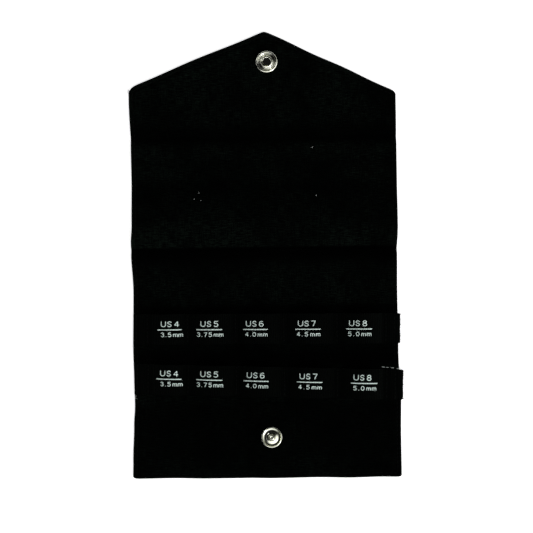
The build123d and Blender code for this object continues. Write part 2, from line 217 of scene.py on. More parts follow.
def lift(x, y):
    """How far both layers stand off the table where the cloth isn't quite flat."""
    main_line = 1.3 + 0.35 * np.sin(x * 0.045 + 0.6) + 0.2 * np.sin(x * 0.13)
    flap_height = 2.9 + 0.3 * np.sin(x * 0.06)
    flap_side = crease(y - main_line, flap_height, turn=2.8, crown=14, fade=26)
    back_height = 3.3 + 0.3 * np.sin(x * 0.05 + 2)
    back_side = crease(main_line - y, back_height, turn=5.4, crown=6, fade=20, sharp=False)
    tip_line = TIP_FOLD + 0.4 * np.sin(x * 0.05)
    tip_side = crease(y - tip_line, 0.9, turn=3.0, crown=6, fade=16)
    tip_side = tip_side + crease(tip_line - y, 2.2, turn=6.5, crown=8, fade=20, sharp=False)
    waves = (
        np.sin(0.071 * x + 0.043 * y + 0.8)
        + np.sin(-0.052 * x + 0.094 * y + 2.1)
        + np.sin(0.118 * x - 0.061 * y + 4.0)
        + 0.6 * np.sin(0.19 * x + 0.16 * y + 1.0)
    )
    waves = 0.26 * (0.5 + waves / 7.2)
    puckers = 0
    for beyond, reach in ((y - TAPES_TOP, 11), (TAPES_FOOT - y, 9)):
        fall = np.exp(-np.maximum(beyond, 0) / reach)
        puckers = puckers + 0.3 * billow(x) * fall * smooth((beyond + 6) / 6)
    calm = 1
    for snap in (STUD, SOCKET):
        calm = calm * smooth((snap_distance(x, y, snap) - 11) / 7)
    return (waves + puckers) * calm + flap_side + back_side + tip_side


def dish(x, y):
    """Rise of the cloth round the two snaps."""
    rise = 0
    for snap in (STUD, SOCKET):
        reach = (DISH_RADIUS - snap_distance(x, y, snap)) / (DISH_RADIUS - SEAT_RADIUS)
        rise = rise + DISH_RISE * smooth(reach)
    return rise


def patch_step(x, y):
    """Step of the lining over the stiffening patch."""
    inside = np.minimum(
        np.minimum(x - PATCH_LOW[0], PATCH_HIGH[0] - x),
        np.minimum(y - PATCH_LOW[1], PATCH_HIGH[1] - y),
    )
    step = (PATCH_THICKNESS + 0.12) * smooth((inside + 0.6) / 0.8)
    return step - 0.12 * smooth((inside + 2.2) / 1.4)


def inner_face(x, y):
    """Height of the lining's inner face."""
    edge = through(EDGE_PROFILE, edge_distance(x, y))
    return INNER_FACE + lift(x, y) + dish(x, y) + patch_step(x, y) + edge


def edge_curl(x, y):
    """Share of the curl at the case's edge, 1 at the edge itself."""
    return np.clip(1 - edge_distance(x, y) / EDGE_CURL, 0, 1)


def outer_face(x, y):
    """Height of the cover's outer face, which curls up at the case's edge."""
    rise = 0.75 * (1 - np.sqrt(1 - 0.98 * edge_curl(x, y) ** 2))
    return lift(x, y) + dish(x, y) + rise


# ---- Mesh makers ---------------------------------------------
def add_mesh(name, points, faces, material, flat=None, soft_angle=50):
    """Object from points in millimetres and faces, with flat coordinates for its weave."""
    used, faces = np.unique(faces, return_inverse=True)
    faces = faces.reshape(-1, 4)
    mesh = bpy.data.meshes.new(name)
    mesh.from_pydata((points[used] * MM).tolist(), [], faces.tolist())
    if flat is not None:
        loops = np.empty(len(mesh.loops), np.int32)
        mesh.loops.foreach_get("vertex_index", loops)
        layer = mesh.uv_layers.new(name="flat")
        layer.data.foreach_set("uv", (flat[used][loops] * UV_PER_MM).astype(np.float32).ravel())
    mesh.shade_smooth()
    mesh.set_sharp_from_angle(angle=np.radians(soft_angle))
    mesh.materials.append(material)
    piece = bpy.data.objects.new(name, mesh)
    bpy.context.scene.collection.objects.link(piece)
    return piece


def shell(top, bottom, keep=None):
    """Points and faces of a closed sheet between two matching grids, open where keep is false."""
    count = top.shape[0] * top.shape[1]
    index = np.arange(count).reshape(top.shape[:2])
    quads = np.stack([index[:-1, :-1], index[:-1, 1:], index[1:, 1:], index[1:, :-1]], -1)
    quads = quads.reshape(-1, 4) if keep is None else quads[keep]
    starts = quads.ravel()
    ends = np.roll(quads, -1, axis=1).ravel()
    rim = ~np.isin(starts * count + ends, ends * count + starts)
    starts, ends = starts[rim], ends[rim]
    walls = np.stack([ends, starts, starts + count, ends + count], -1)
    faces = np.concatenate([quads, quads[:, ::-1] + count, walls])
    return np.concatenate([top.reshape(-1, 3), bottom.reshape(-1, 3)]), faces


def add_shell(name, top, bottom, material, flat=None, keep=None):
    """Object of a closed sheet, with its flat coordinates from its top unless they are given."""
    points, faces = shell(top, bottom, keep)
    flat = top[..., :2] if flat is None else flat
    flat = np.concatenate([flat.reshape(-1, 2)] * 2)
    return add_mesh(name, points, faces, material, flat)


def tube(path, radii, sides=6):
    """Points and faces of a fine open-ended tube along a path, with a radius at each point."""
    path = np.array(path, float)
    along = np.gradient(path, axis=0)
    along /= np.linalg.norm(along, axis=1)[:, None]
    side = np.cross(along, (0, 0, 1.0))
    side[np.linalg.norm(side, axis=1) < 1e-6] = (1, 0, 0)
    side /= np.linalg.norm(side, axis=1)[:, None]
    up = np.cross(side, along)
    angle = np.linspace(0, 2 * np.pi, sides, endpoint=False)
    ring = side[:, None] * np.cos(angle)[:, None] + up[:, None] * np.sin(angle)[:, None]
    points = path[:, None] + ring * radii[:, None, None]
    index = np.arange(len(path) * sides).reshape(-1, sides)
    turned = np.roll(index, -1, axis=1)
    faces = np.stack([index[:-1], index[1:], turned[1:], turned[:-1]], -1).reshape(-1, 4)
    return points.reshape(-1, 3), faces


def join(parts):
    """One array of points and one of faces from many."""
    points, faces, start = [], [], 0
    for part_points, part_faces in parts:
        points.append(part_points)
        faces.append(part_faces + start)
        start += len(part_points)
    return np.concatenate(points), np.concatenate(faces)


# ---- Materials -----------------------------------------------
class Nodes:
    """Short hand for building the node tree of a material or a world."""

    def __init__(self, owner):
        self.material = owner
        owner.use_nodes = True
        self.tree = owner.node_tree
        self.shader = self.tree.nodes.get("Principled BSDF")

    def add(self, kind, inputs=(), **settings):
        """A node with its inputs set or linked."""
        node = self.tree.nodes.new(kind)
        for key, value in settings.items():
            setattr(node, key, value)
        for key, value in dict(inputs).items():
            if isinstance(value, bpy.types.NodeSocket):
                self.tree.links.new(value, node.inputs[key])
            else:
                node.inputs[key].default_value = value
        return node

    def math(self, operation, first, second=0.0):
        return self.add("ShaderNodeMath", {0: first, 1: second}, operation=operation).outputs[0]

    def times(self, first, second):
        return self.math("MULTIPLY", first, second)

    def sum(self, first, *rest):
        for term in rest:
            first = self.math("ADD", first, term)
        return first

    def flat(self):
        """Place in the cloth's flat coordinates, and its two parts."""
        place = self.add("ShaderNodeUVMap", uv_map="flat").outputs[0]
        parts = self.add("ShaderNodeSeparateXYZ", {0: place}).outputs
        return place, parts[0], parts[1]

    def wave(self, place, pitch):
        """Sine wave along a flat coordinate, its pitch in millimetres."""
        return self.math("SINE", self.times(place, 2 * np.pi / (pitch * UV_PER_MM)))

    def noise(self, place, scale, detail=3.0, rough=0.55):
        inputs = {"Vector": place, "Scale": scale, "Detail": detail, "Roughness": rough}
        return self.add("ShaderNodeTexNoise", inputs).outputs["Fac"]

    def ramp(self, factor, low, high, from_min=0.0, from_max=1.0, kind="LINEAR"):
        """From low to high as the factor goes from from_min to from_max."""
        inputs = {0: factor, 1: from_min, 2: from_max, 3: low, 4: high}
        return self.add("ShaderNodeMapRange", inputs, interpolation_type=kind).outputs[0]

    def mix(self, factor, first, second):
        node = self.add("ShaderNodeMix", {0: factor}, data_type="RGBA")
        for socket, value in ((node.inputs[6], first), (node.inputs[7], second)):
            if isinstance(value, bpy.types.NodeSocket):
                self.tree.links.new(value, socket)
            else:
                socket.default_value = (*value, 1)
        return node.outputs[2]

    def bump(self, height, distance, strength=1.0):
        inputs = {"Height": height, "Distance": distance, "Strength": strength}
        return self.add("ShaderNodeBump", inputs).outputs["Normal"]

    def set(self, **values):
        """Inputs of the surface shader, with _ for each space in their names."""
        for key, value in values.items():
            socket = self.shader.inputs[key.replace("_", " ")]
            if isinstance(value, bpy.types.NodeSocket):
                self.tree.links.new(value, socket)
            else:
                socket.default_value = value


def new_material(name):
    """Nodes of a new material."""
    return Nodes(bpy.data.materials.new(name))


SHEEN_ROUGHNESS = 0.28
SHEEN_TINT = (0.74, 1.0, 0.85, 1.0)
# Distance along the case in flat coordinates, and the share the cloth's colour is scaled by there:
# painted shade down in the two folds and in the shadow bands just above each tape, painted light
# on the slope beside the spine's fold, and other rows simply paler or darker.
PAINTED_LIGHT_BY_ROW = (
    (-12.9, 1.1), (-12.2, 0.5), (-9.4, 0.4), (-9.0, 0.9), (-7.2, 0.9), (-6.8, 0.0), (-6.3, 0.0),
    (-5.7, 0.8), (-3.6, 0.1), (-3.4, 0.2), (-3.2, 1.25), (-2.5, 1.6), (-1.8, 1.0), (-1.0, 0.75),
    (-0.45, 0.0), (0.13, 0.0),
    (0.24, 2.0), (1.5, 1.8), (1.9, 1.3), (3.3, 0.95), (3.7, 0.6), (4.4, 1.0), (5.2, 0.75), (5.8, 1.45),
    (6.3, 1.4), (6.6, 0.15), (7.2, 0.35), (7.8, 1.4), (8.8, 1.5),
)


def painted_light_share(n, along):
    """Share the cloth's colour is scaled by, from the distance along the case: painted shade in its
    folds and in the tapes' shadows, painted light on the lit slope beside the spine's fold.
    """
    share = PAINTED_LIGHT_BY_ROW[0][1]
    for (start, low), (end, high) in zip(PAINTED_LIGHT_BY_ROW, PAINTED_LIGHT_BY_ROW[1:]):
        share = n.sum(share, n.ramp(along, 0.0, high - low, start, end))
    return share


def cloth(name, dark, light, warp, weft, rib=0.0, distance=0.00012, specks=0.0, painted_light=False):
    """Woven black cloth: warp and weft pitches in millimetres, rib the share of crosswise ribs,
    distance the depth of its weave in metres, specks the size of its pale flecks; its last flag
    paints its tone paler and darker row by row, as painted light and shade."""
    n = new_material(name)
    place, x, y = n.flat()
    wobble = n.times(n.math("SUBTRACT", n.noise(place, 2.2, 2.0), 0.5), 0.05)
    across = n.wave(n.sum(x, wobble), warp)
    along = n.wave(n.sum(y, wobble), weft)
    plain = n.times(across, along)
    weave = n.sum(n.times(plain, 1 - rib), n.times(along, rib))
    slub_place = n.add("ShaderNodeMapping", {0: place, 3: (2.0, 26.0, 1.0)}).outputs[0]
    slub = n.noise(slub_place, 1.0, 3.0, 0.6)
    fuzz = n.noise(place, 90.0, 2.0, 0.7)
    patchy = n.noise(place, 0.35, 3.0, 0.6)
    warp_place = n.add("ShaderNodeMapping", {0: place, 3: (14.0, 1.4, 1.0)}).outputs[0]
    warp_slub = n.noise(warp_place, 1.0, 3.0, 0.6)
    height = n.sum(n.times(weave, 0.5), n.times(slub, 1.3), n.times(fuzz, 0.9))
    tone = n.sum(
        n.ramp(weave, 0.0, 0.3, -1, 1),
        n.ramp(slub, -0.7, 1.2, 0.38, 0.66),
        n.ramp(fuzz, -0.1, 0.3, 0.35, 0.75),
        n.ramp(warp_slub, -0.35, 0.55, 0.36, 0.68),
    )
    tone = n.times(tone, n.ramp(patchy, 0.06, 0.7, 0.32, 0.68))
    # Painted light and shade: the tone is scaled row by row, darkest in the folds and the tapes'
    # shadows.
    if painted_light:
        tone = n.times(tone, painted_light_share(n, y))
    colour = n.mix(tone, dark, light)
    if specks:
        dots = n.add("ShaderNodeTexVoronoi", {"Vector": place, "Scale": 4.5, "Randomness": 1.0})
        near = n.math("LESS_THAN", dots.outputs["Distance"], specks)
        chosen = n.math("GREATER_THAN", n.noise(place, 1.3, 1.0), 0.6)
        colour = n.mix(n.times(near, chosen), colour, (0.02, 0.023, 0.021))
    n.set(
        Base_Color=colour,
        Roughness=n.ramp(slub, 0.82, 0.98, 0.3, 0.7),
        Normal=n.bump(height, distance, 0.8),
        Specular_IOR_Level=0.01,
        Sheen_Weight=0.07,
        Sheen_Roughness=SHEEN_ROUGHNESS,
        Sheen_Tint=SHEEN_TINT,
    )
    return n.material


# The lining carries the painted light and shade by row: dark folds and tape shadows, a lit slope by
# the spine.
lining_cloth = cloth(
    "lining_cloth", (0.0001, 0.0002, 0.00015), (0.0034, 0.0060, 0.0044), warp=0.55, weft=0.95,
    rib=0.55, distance=0.00018, specks=0.035, painted_light=True,
)
cover_cloth = cloth(
    "cover_cloth", (0.0002, 0.0003, 0.0002), (0.0038, 0.0056, 0.0045), warp=0.6, weft=0.6,
    distance=0.00014,
)
patch_cloth = cloth("patch_cloth", (0.006, 0.006, 0.006), (0.02, 0.02, 0.02), warp=0.9, weft=0.9)


TAPE_RIB = 1.05


def tape_material():
    """Black grosgrain: ribs across the tape and a fine warp along it."""
    n = new_material("loop_tape")
    place, x, y = n.flat()
    wobble = n.times(n.math("SUBTRACT", n.noise(place, 1.6, 2.0), 0.5), 0.07)
    rib = n.wave(n.sum(x, wobble), TAPE_RIB)
    warp = n.wave(y, 0.42)
    fuzz = n.noise(place, 70.0, 2.0, 0.7)
    patchy = n.noise(place, 0.7, 3.0, 0.6)
    height = n.sum(rib, n.times(warp, 0.25), n.times(fuzz, 0.8))
    tone = n.times(n.ramp(rib, 0.0, 0.8, -1, 1), n.ramp(patchy, 0.4, 1.3, 0.3, 0.7))
    tone = n.sum(tone, n.ramp(fuzz, 0.0, 0.3, 0.4, 0.8))
    n.set(
        Base_Color=n.mix(tone, (0.0001, 0.0002, 0.00015), (0.0009, 0.0017, 0.0012)),
        Roughness=n.ramp(patchy, 0.7, 0.9, 0.3, 0.7),
        Normal=n.bump(height, 0.00012, 0.8),
        Specular_IOR_Level=0.02,
        Sheen_Weight=0.05,
        Sheen_Roughness=SHEEN_ROUGHNESS,
        Sheen_Tint=SHEEN_TINT,
    )
    return n.material


def thread_material(name, dark, light, gloss=0.2):
    """Spun thread with its twist."""
    n = new_material(name)
    place = n.add("ShaderNodeTexCoord").outputs["Object"]
    twist = n.add(
        "ShaderNodeTexWave",
        {"Vector": place, "Scale": 900.0, "Distortion": 3.0, "Detail": 1.0},
        bands_direction="DIAGONAL",
    ).outputs["Fac"]
    fuzz = n.noise(place, 2600.0, 2.0)
    tone = n.sum(n.times(twist, 0.6), n.times(fuzz, 0.5))
    n.set(
        Base_Color=n.mix(tone, dark, light),
        Roughness=0.7,
        Normal=n.bump(twist, 0.00008, 0.6),
        Specular_IOR_Level=gloss,
    )
    return n.material


def mark_material():
    """Pale woven thread of the size marks, a little uneven."""
    n = new_material("size_marks")
    place, x, _ = n.flat()
    rib = n.wave(x, 0.5)
    uneven = n.noise(place, 14.0, 3.0, 0.7)
    tone = n.sum(n.ramp(uneven, 0.1, 1.0, 0.32, 0.68), n.times(rib, 0.12))
    n.set(
        Base_Color=n.mix(tone, (0.52, 0.63, 0.585), (0.86, 0.99, 0.94)),
        Roughness=0.75,
        Normal=n.bump(rib, 0.00008, 0.7),
        Specular_IOR_Level=0.25,
    )
    return n.material


def nickel_material():
    """Bright nickel plate with fine scratches and a faint yellow-green cast."""
    n = new_material("nickel")
    place = n.add("ShaderNodeTexCoord").outputs["Object"]
    cloudy = n.noise(place, 260.0, 4.0, 0.6)
    handled = n.noise(place, 900.0, 4.0, 0.65)
    grain = n.noise(place, 3200.0, 2.0)
    height = n.sum(handled, n.times(grain, 0.25))
    n.set(
        Base_Color=n.mix(n.ramp(cloudy, 0, 1, 0.35, 0.65), (0.8, 0.82, 0.66), (1.0, 1.0, 0.9)),
        Roughness=n.ramp(handled, 0.05, 0.14, 0.35, 0.65),
        Normal=n.bump(height, 0.00003, 0.3),
        Metallic=1.0,
    )
    return n.material


tape_cloth = tape_material()
thread = thread_material("thread", (0.0003, 0.0004, 0.0003), (0.0016, 0.0022, 0.0019), 0.06)
# Pale thread for the corner fibres, and for the painted highlight dashes along the lower tape's edge.
pale_glint_thread = thread_material("pale_glint_thread", (0.2, 0.22, 0.21), (0.5, 0.54, 0.52))
lint_thread = thread_material("lint", (0.25, 0.27, 0.26), (0.6, 0.62, 0.6))
marks = mark_material()
nickel = nickel_material()

# ---- Cover and lining ----------------------------------------
EDGE_STEPS = (0, 0.2, 0.45, 0.75, 1.05, 1.4, 1.8, 2.2, 2.6, 3.0, 3.5, 4.2, 5.1, 6.2, 7.4, 8.7)


def columns():
    """Shares of the width at which the grids have a column, closer near the edges and the snaps."""
    near = np.array(EDGE_STEPS)
    middle = np.concatenate([
        np.linspace(10.0, 66.5, 44), np.linspace(67.3, 98.3, 46),
        np.linspace(99.3, CLOTH_WIDTH - 10.0, 40),
    ])
    return np.concatenate([near, middle, CLOTH_WIDTH - near[::-1]]) / CLOTH_WIDTH


def back_rows(u):
    """Rows from the front edge to the spine's centre line."""
    rows = np.concatenate([
        CLOTH_FRONT + np.array(EDGE_STEPS), np.linspace(-127.0, -90.0, 54),
        np.linspace(-89.0, -8.4, 64), np.linspace(-7.7, 0.0, 15),
    ])
    x = CLOTH_LEFT + CLOTH_WIDTH * u
    pull = np.clip(1 - (rows - CLOTH_FRONT) / 20, 0, 1)[:, None]
    return rows[:, None] + (front_edge(x) - CLOTH_FRONT)[None, :] * pull


def flap_rows(u):
    """Rows from the spine's centre line to the middle of the flap."""
    rows = np.concatenate([np.linspace(0.0, 10.0, 17), np.linspace(11.2, FLAP_SPLIT, 20)])
    return np.repeat(rows[:, None], len(u), axis=1)


def tip_rows(u):
    """Rows from the middle of the flap to its pointed edge."""
    level = np.concatenate([
        np.linspace(FLAP_SPLIT, 60.6, 20), np.linspace(61.4, 75.0, 18),
        np.linspace(76.2, SHOULDER_SPLIT, 4),
    ])
    level = np.repeat(level[:, None], len(u), axis=1)
    share = np.linspace(1, 0, 46)[1:]
    share = 0.2 * share + 0.8 * share**2.1
    top = top_edge(CLOTH_LEFT + CLOTH_WIDTH * u)
    rest = top[None, :] - (top - SHOULDER_SPLIT)[None, :] * share[:, None]
    return np.concatenate([level, rest])


# Each panel's rows, its snap, and which rows are also drawn in from the edge along the case.
PANELS = {
    "back": (back_rows, (STUD,), slice(0, -16)),
    "flap": (flap_rows, (), slice(0, 0)),
    "tip": (tip_rows, (SOCKET,), slice(42, None)),
}


def grid(row_maker, drawn_in, inset):
    """x and y of a panel's grid, drawn in from the edge by inset."""
    u = columns()
    y = row_maker(u)
    x = left_edge(y) + (right_edge(y) - left_edge(y)) * u[None, :]
    distance = edge_distance(x, y)
    pull = np.clip(1 - distance / 6, 0, 1) * inset
    step = 0.05
    slope_x = (edge_distance(x + step, y) - edge_distance(x - step, y)) / (2 * step)
    slope_y = (edge_distance(x, y + step) - edge_distance(x, y - step)) / (2 * step)
    row_share = np.zeros_like(y)
    row_share[drawn_in] = 1
    return x + pull * slope_x, y + pull * slope_y * row_share


def opened(x, y, snaps):
    """Grid with the holes for the snaps' posts: which faces stay, and points drawn to the rim."""
    middle_x = (x[:-1, :-1] + x[1:, 1:]) / 2
    middle_y = (y[:-1, :-1] + y[1:, 1:]) / 2
    keep = np.ones(middle_x.shape, bool)
    for snap in snaps:
        gone = snap_distance(middle_x, middle_y, snap) <= HOLE_RADIUS
        keep &= ~gone
        around = snap_distance(x, y, snap)
        touching = np.zeros(x.shape, bool)
        touching[:-1, :-1] |= gone
        touching[1:, :-1] |= gone
        touching[:-1, 1:] |= gone
        touching[1:, 1:] |= gone
        rim = touching & (around > HOLE_RADIUS * 0.4)
        x = np.where(rim, snap[0] + (x - snap[0]) * HOLE_RADIUS / np.maximum(around, 0.1), x)
        y = np.where(rim, snap[1] + (y - snap[1]) * HOLE_RADIUS / np.maximum(around, 0.1), y)
    return x, y, keep


def make_sheets():
    """The lining and the cover, each in three sheets that meet on the spine and on the flap."""
    made = {}
    for part, (row_maker, snaps, drawn_in) in PANELS.items():
        x, y, keep = opened(*grid(row_maker, drawn_in, LINING_INSET), snaps)
        top = inner_face(x, y)
        low = np.maximum(top - LINING_THICKNESS, outer_face(x, y) + COVER_THICKNESS + LAYER_GAP)
        low = np.minimum(low, top - THINNEST_LINING)
        top, low = np.stack([x, y, top], -1), np.stack([x, y, low], -1)
        made["lining_" + part] = add_shell("lining_" + part, top, low, lining_cloth, keep=keep)

        x, y, keep = opened(*grid(row_maker, drawn_in, 0), snaps)
        low = outer_face(x, y)
        top = low + COVER_THICKNESS - 0.25 * edge_curl(x, y)
        top = np.minimum(top, np.maximum(inner_face(x, y) - 0.1, low + THINNEST_COVER))
        top, low = np.stack([x, y, top], -1), np.stack([x, y, low], -1)
        made["cover_" + part] = add_shell("cover_" + part, top, low, cover_cloth, keep=keep)
    return made


sheets = make_sheets()


def make_patch():
    """The stiffening patch, between the layers."""
    x = np.linspace(PATCH_LOW[0], PATCH_HIGH[0], 55)
    y = np.linspace(PATCH_LOW[1], PATCH_HIGH[1], 77)
    x, y = np.meshgrid(x, y)
    x, y, keep = opened(x, y, (STUD,))
    level = outer_face(x, y) + COVER_THICKNESS + 0.03
    top = np.stack([x, y, level + 0.2], -1)
    low = np.stack([x, y, level], -1)
    return add_shell("patch_sheet", top, low, patch_cloth, keep=keep)


patch = make_patch()

# ---- Loop tapes ----------------------------------------------
TAPE_THICKNESS = 0.45
TAPE_HALF = 9.0
LOOP_CLEARANCE = (4.6, 4.7, 4.9, 5.1, 5.4)
TACK_LAND = 1.0
FOOT_RADIUS = 3.0
TAPE_COLUMNS = 430
WAVE_KNOTS = 28
UPPER = {
    "name": "upper", "y": -47.2, "turn": np.radians(-0.5), "left": -81.9, "right": 77.8, "seed": 3
}
LOWER = {
    "name": "lower", "y": -79.0, "turn": np.radians(-2.0), "left": -81.6, "right": 79.2, "seed": 8
}


def arch(s):
    """Rise of a tape's middle surface between its tacks, s along the tape."""
    rise = np.zeros_like(s)
    for left, right, clearance in zip(TACK_X, TACK_X[1:], LOOP_CLEARANCE):
        half = (right - left) / 2 - TACK_LAND
        turn = 2 * np.arctan(clearance / half)
        crown = half / np.sin(turn) - FOOT_RADIUS
        t = half - np.abs(s - (left + right) / 2)
        foot = FOOT_RADIUS - np.sqrt(FOOT_RADIUS**2 - np.clip(t, 0, FOOT_RADIUS) ** 2)
        top = clearance - crown + np.sqrt(np.maximum(crown**2 - (half - t) ** 2, 0))
        inside = np.where(t < FOOT_RADIUS * np.sin(turn), foot, top)
        rise = np.where(t > 0, inside, rise)
    return rise


def tape_place(tape, s, w):
    """x and y of a place on a tape, s along it and w across it."""
    cosine, sine = np.cos(tape["turn"]), np.sin(tape["turn"])
    return s * cosine - w * sine, tape["y"] + s * sine + w * cosine


def along_tape(tape, x, y):
    """Place along a tape and across it, from x and y."""
    cosine, sine = np.cos(tape["turn"]), np.sin(tape["turn"])
    return x * cosine + (y - tape["y"]) * sine, (y - tape["y"]) * cosine - x * sine


def tape_level(tape, s, w):
    """Height of a tape's middle surface."""
    x, y = tape_place(tape, s, w)
    inside = np.clip(x, left_edge(y) + 1.3, right_edge(y) - 1.3)
    ground = inner_face(inside, y)
    spill = np.maximum(x - right_edge(y) + 0.6, 0)
    slack = 0.16 * np.sin(s * 0.31 + tape["seed"]) * (w / TAPE_HALF) ** 2
    sag = arch(s) / 5 * (slack - 0.18 * np.abs(w / TAPE_HALF) ** 3)
    return ground + TAPE_THICKNESS / 2 + 0.02 + arch(s) + sag - 0.12 * spill**1.2


def tape_normal(tape, s, w):
    """Upward normals of a tape's middle surface, in x, y, z."""
    step = 0.05
    along = (tape_level(tape, s + step, w) - tape_level(tape, s - step, w)) / (2 * step)
    across = (tape_level(tape, s, w + step) - tape_level(tape, s, w - step)) / (2 * step)
    cosine, sine = np.cos(tape["turn"]), np.sin(tape["turn"])
    normal = np.stack([
        -along * cosine + across * sine, -along * sine - across * cosine, np.ones_like(along)
    ], -1)
    return normal / np.linalg.norm(normal, axis=-1)[..., None]


def tape_point(tape, s, w, off=0.0):
    """Points off a tape's middle surface."""
    x, y = tape_place(tape, s, w)
    middle = np.stack([x, y, tape_level(tape, s, w)], -1)
    return middle + tape_normal(tape, s, w) * np.asarray(off)[..., None]


def make_tape(tape):
    """A ribbed tape over its loops, with uneven selvedges and a jagged cut end."""
    rng = np.random.default_rng(tape["seed"])
    share = np.linspace(0, 1, TAPE_COLUMNS)
    across = np.concatenate([[-1, -0.985, -0.95], np.linspace(-0.9, 0.9, 25), [0.95, 0.985, 1]])
    share, across = np.meshgrid(share, across)
    knots = np.linspace(0, 1, WAVE_KNOTS)
    low_wave, high_wave = (
        through(np.stack([knots, rng.uniform(-0.18, 0.18, WAVE_KNOTS)], -1), share) for _ in range(2)
    )
    w = TAPE_HALF * across + np.where(across < 0, low_wave, high_wave) * across**2
    jag = through(np.stack([np.linspace(-1, 1, 9), rng.uniform(-0.3, 0.12, 9)], -1), across)
    selvedge = np.exp(-(1 - np.abs(across)) * TAPE_HALF / 0.5)
    right = tape["right"] + jag - 0.9 * selvedge
    s = tape["left"] + (right - tape["left"]) * share
    half = TAPE_THICKNESS / 2 * (1 + 0.35 * selvedge)
    ridge = 0.035 * np.sin(2 * np.pi * s / TAPE_RIB)
    top = tape_point(tape, s, w, half + ridge)
    low = tape_point(tape, s, w, -half)
    flat = np.stack([s, w], -1)
    return add_shell(tape["name"] + "_tape", top, low, tape_cloth, flat=flat)


upper_tape = make_tape(UPPER)
lower_tape = make_tape(LOWER)


# ---- Size marks ----------------------------------------------
def arc_points(cx, cy, rx, ry, start, end, count=12):
    """Points of an elliptical arc between two angles in degrees."""
    angle = np.radians(np.linspace(start, end, count))
    return [(cx + rx * np.cos(a), cy + ry * np.sin(a)) for a in angle]


# Each letter's strokes, in shares of its width and height.
GLYPHS = {
    "U": [[(0, 1), *arc_points(0.5, 0.36, 0.5, 0.36, 180, 360), (1, 1)]],
    "S": [[
        (0.94, 0.8), (0.74, 0.97), (0.4, 1.0), (0.1, 0.86), (0.08, 0.66), (0.34, 0.54),
        (0.7, 0.45), (0.94, 0.3), (0.88, 0.1), (0.56, 0.0), (0.22, 0.03), (0.02, 0.2),
    ]],
    "3": [[
        (0.05, 0.86), (0.32, 1.0), (0.7, 0.97), (0.88, 0.77), (0.72, 0.58), (0.42, 0.53),
        (0.76, 0.47), (0.97, 0.26), (0.76, 0.03), (0.36, 0.0), (0.03, 0.14),
    ]],
    "4": [[(0.74, 0), (0.74, 1.0), (0.02, 0.28), (1.0, 0.28)]],
    "5": [[
        (0.92, 1), (0.16, 1), (0.08, 0.56), (0.36, 0.65), (0.72, 0.61), (0.96, 0.4),
        (0.92, 0.16), (0.66, 0.0), (0.3, 0.0), (0.04, 0.13),
    ]],
    "6": [[
        (0.86, 0.9), (0.56, 1.0), (0.22, 0.88), (0.04, 0.58), (0.03, 0.28), (0.2, 0.04),
        (0.5, 0), (0.82, 0.06), (0.97, 0.3), (0.82, 0.54), (0.5, 0.6), (0.2, 0.52), (0.05, 0.34),
    ]],
    "7": [[(0.02, 1), (0.98, 1), (0.64, 0.52), (0.42, 0)]],
    "8": [[
        (0.5, 0.54), (0.18, 0.62), (0.1, 0.8), (0.26, 0.96), (0.5, 1.0), (0.74, 0.96),
        (0.9, 0.8), (0.82, 0.62), (0.5, 0.54), (0.14, 0.45), (0.0, 0.24), (0.2, 0.03),
        (0.5, 0), (0.8, 0.03), (1.0, 0.24), (0.86, 0.45), (0.5, 0.54),
    ]],
    "0": [arc_points(0.5, 0.5, 0.5, 0.5, 90, 450, 18)],
    ".": [[(0, 0), (1, 0)]],
    "m": [
        [(0, 0), (0, 1)],
        [(0, 0.7), (0.12, 0.96), (0.36, 0.98), (0.5, 0.74), (0.5, 0)],
        [(0.5, 0.7), (0.62, 0.96), (0.87, 0.98), (1, 0.74), (1, 0)],
    ],
}
NAME_STROKE = 0.52
NAME_HEIGHT = 3.55
NAME_SIZES = {"U": 3.1, "S": 2.75}
NAME_DIGIT = 2.95
GAUGE_STROKE = 0.47
GAUGE_HEIGHT = 2.75
GAUGE_DIGIT = 2.2
M_WIDTH = 2.75
M_HEIGHT = 2.0
GAUGE_SIZES = {"m": M_WIDTH, ".": 0.55}
RULE_THICKNESS = 0.64
NAME_RISE = 1.32
GAUGE_DROP = 1.22
# Each loop's name and gauge, how far the gauge stands aside, and how far its letters are spread.
LABELS = (
    ("US4", "3.5mm", 1.5, 0.1), ("US5", "3.75mm", 0.45, 0.07), ("US6", "4.0mm", 0.55, 0.17),
    ("US7", "4.5mm", 0.3, 0.36), ("US8", "5.0mm", 0.3, 0.3),
)
# Each rule's middle along its tape, its length, and how far the name over it stands aside.
RULES = {
    "upper": (
        (-60.3, 14.4, 0.4), (-36.4, 15.5, 0.1), (-8.9, 14.8, -0.35), (22.4, 15.2, -0.55),
        (52.9, 15.4, -0.6),
    ),
    "lower": (
        (-61.0, 14.8, 0.15), (-36.9, 15.7, 0.0), (-8.9, 15.1, -0.3), (22.95, 15.4, -0.7),
        (55.5, 15.9, -1.1),
    ),
}
RULE_OFFSET = {"upper": -0.2, "lower": 0.6}


def name_gap(text, k):
    """Gap after a letter of a name, wider before its digit."""
    return 1.2 if k == 1 else 0.65


def gauge_gap(text, k):
    """Gap after a letter of a gauge."""
    pair = text[k:k + 2]
    return 0.2 if pair == "mm" else 0.75 if pair.endswith("m") else 0.6


def text_strokes(text, middle, foot, stroke, height, sizes, digit, gap, spread=0):
    """A centred line of text on its foot: each stroke's centre line, and its width."""
    widths = [sizes.get(letter, digit) for letter in text]
    gaps = [gap(text, k) + spread for k in range(len(text))]
    pen = middle - (sum(widths) + sum(gaps[:-1])) / 2
    strokes = []
    for letter, width, space in zip(text, widths, gaps):
        tall = M_HEIGHT if letter == "m" else height
        for shape in GLYPHS[letter]:
            line = [
                (pen + stroke / 2 + px * (width - stroke), foot + stroke / 2 + py * (tall - stroke))
                for px, py in shape
            ]
            strokes.append((line, stroke))
        pen += width + space
    return strokes


